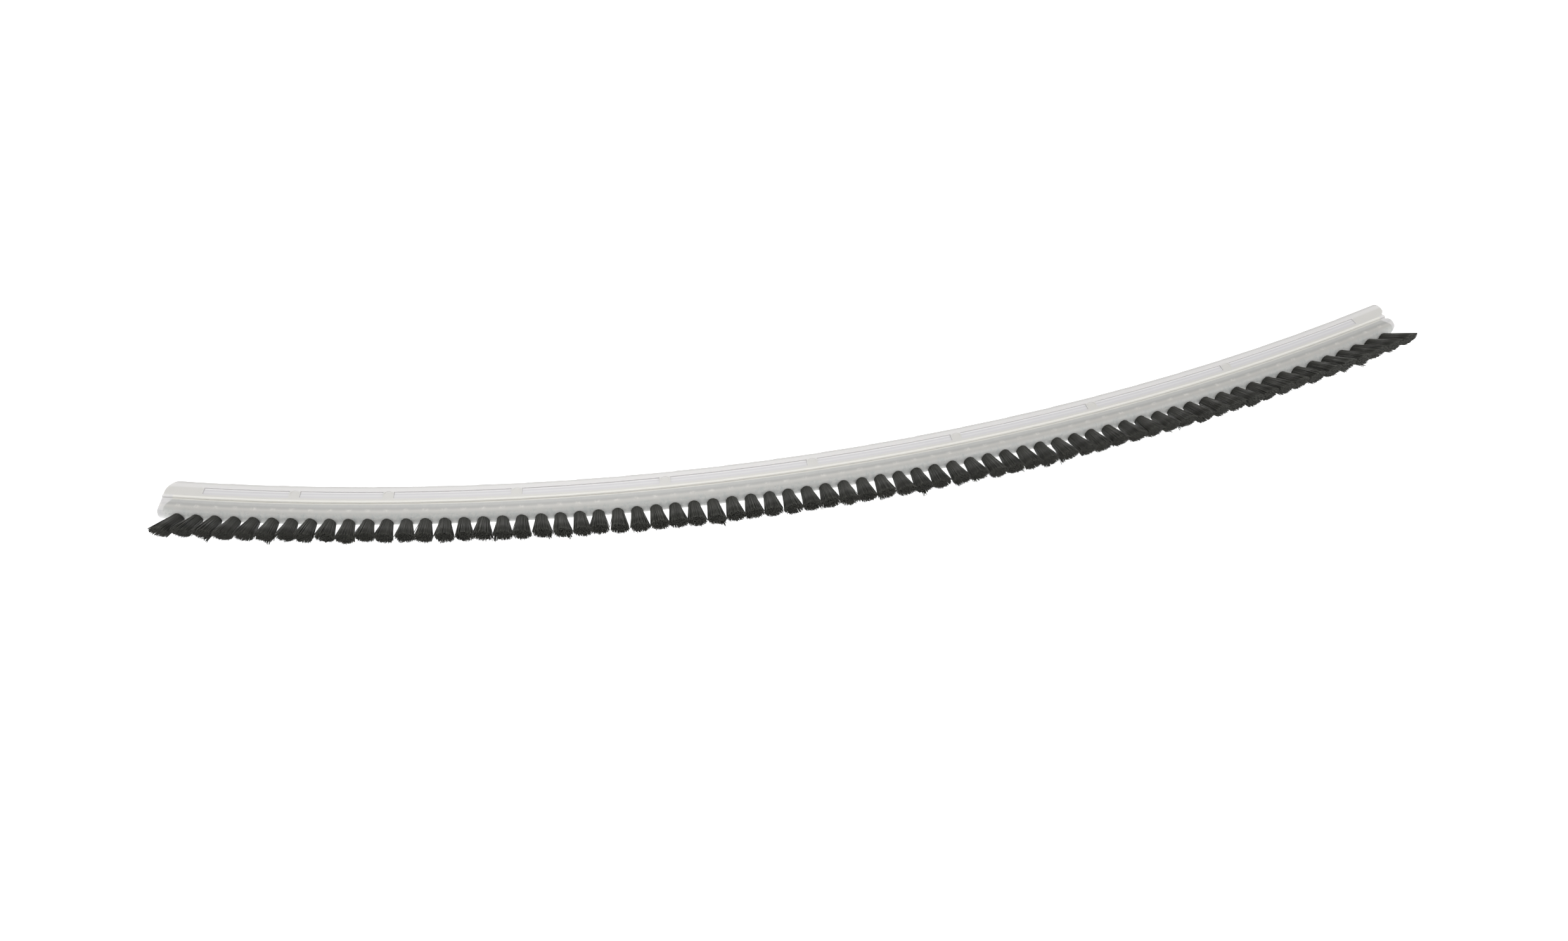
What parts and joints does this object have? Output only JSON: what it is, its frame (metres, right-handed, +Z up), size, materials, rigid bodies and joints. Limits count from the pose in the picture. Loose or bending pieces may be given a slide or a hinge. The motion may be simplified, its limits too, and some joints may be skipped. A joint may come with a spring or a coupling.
{
  "type": "pool wall brush strip",
  "caption": "Curved translucent plastic brush strip with one row of short black staple-set bristle tufts along its convex edge, for a pool wall brush.",
  "frame": {"origin": "middle of the back's flat underside, halfway along its arc and halfway across its width", "axes": "+X along the strip to the notched end, -Y the way the middle tuft points seen from above, +Z up from the underside, the way the tufts lean"},
  "size_m": [0.4569, 0.0551, 0.0183],
  "materials": {
    "back_plastic": "translucent natural polypropylene, soft gloss",
    "bristle_nylon": "black nylon filament, cut tips",
    "anchor_wire": "drawn flat wire"
  },
  "bodies": {
    "root": {"back": "back_plastic", "tufts_01": "bristle_nylon", "tufts_02": "bristle_nylon", "tufts_03": "bristle_nylon", "tufts_04": "bristle_nylon", "tufts_05": "bristle_nylon", "tufts_06": "bristle_nylon", "tufts_07": "bristle_nylon", "tufts_08": "bristle_nylon", "tufts_09": "bristle_nylon", "tufts_10": "bristle_nylon", "tufts_11": "bristle_nylon", "tufts_12": "bristle_nylon", "tufts_13": "bristle_nylon", "tufts_14": "bristle_nylon", "tufts_15": "bristle_nylon", "tufts_16": "bristle_nylon", "tufts_17": "bristle_nylon", "tufts_18": "bristle_nylon", "tufts_19": "bristle_nylon", "tufts_20": "bristle_nylon", "tufts_21": "bristle_nylon", "tufts_22": "bristle_nylon", "tufts_23": "bristle_nylon", "tufts_24": "bristle_nylon", "tufts_25": "bristle_nylon", "tufts_26": "bristle_nylon", "tufts_27": "bristle_nylon", "tufts_28": "bristle_nylon", "tufts_29": "bristle_nylon", "tufts_30": "bristle_nylon", "tufts_31": "bristle_nylon", "tufts_32": "bristle_nylon", "tufts_33": "bristle_nylon", "tufts_34": "bristle_nylon", "tufts_35": "bristle_nylon", "anchors_01": "anchor_wire", "anchors_02": "anchor_wire", "anchors_03": "anchor_wire", "anchors_04": "anchor_wire", "anchors_05": "anchor_wire", "anchors_06": "anchor_wire", "anchors_07": "anchor_wire", "anchors_08": "anchor_wire", "anchors_09": "anchor_wire", "anchors_10": "anchor_wire", "anchors_11": "anchor_wire", "anchors_12": "anchor_wire", "anchors_13": "anchor_wire", "anchors_14": "anchor_wire", "anchors_15": "anchor_wire", "anchors_16": "anchor_wire", "anchors_17": "anchor_wire", "anchors_18": "anchor_wire", "anchors_19": "anchor_wire", "anchors_20": "anchor_wire", "anchors_21": "anchor_wire", "anchors_22": "anchor_wire", "anchors_23": "anchor_wire"}
  },
  "joints": []
}
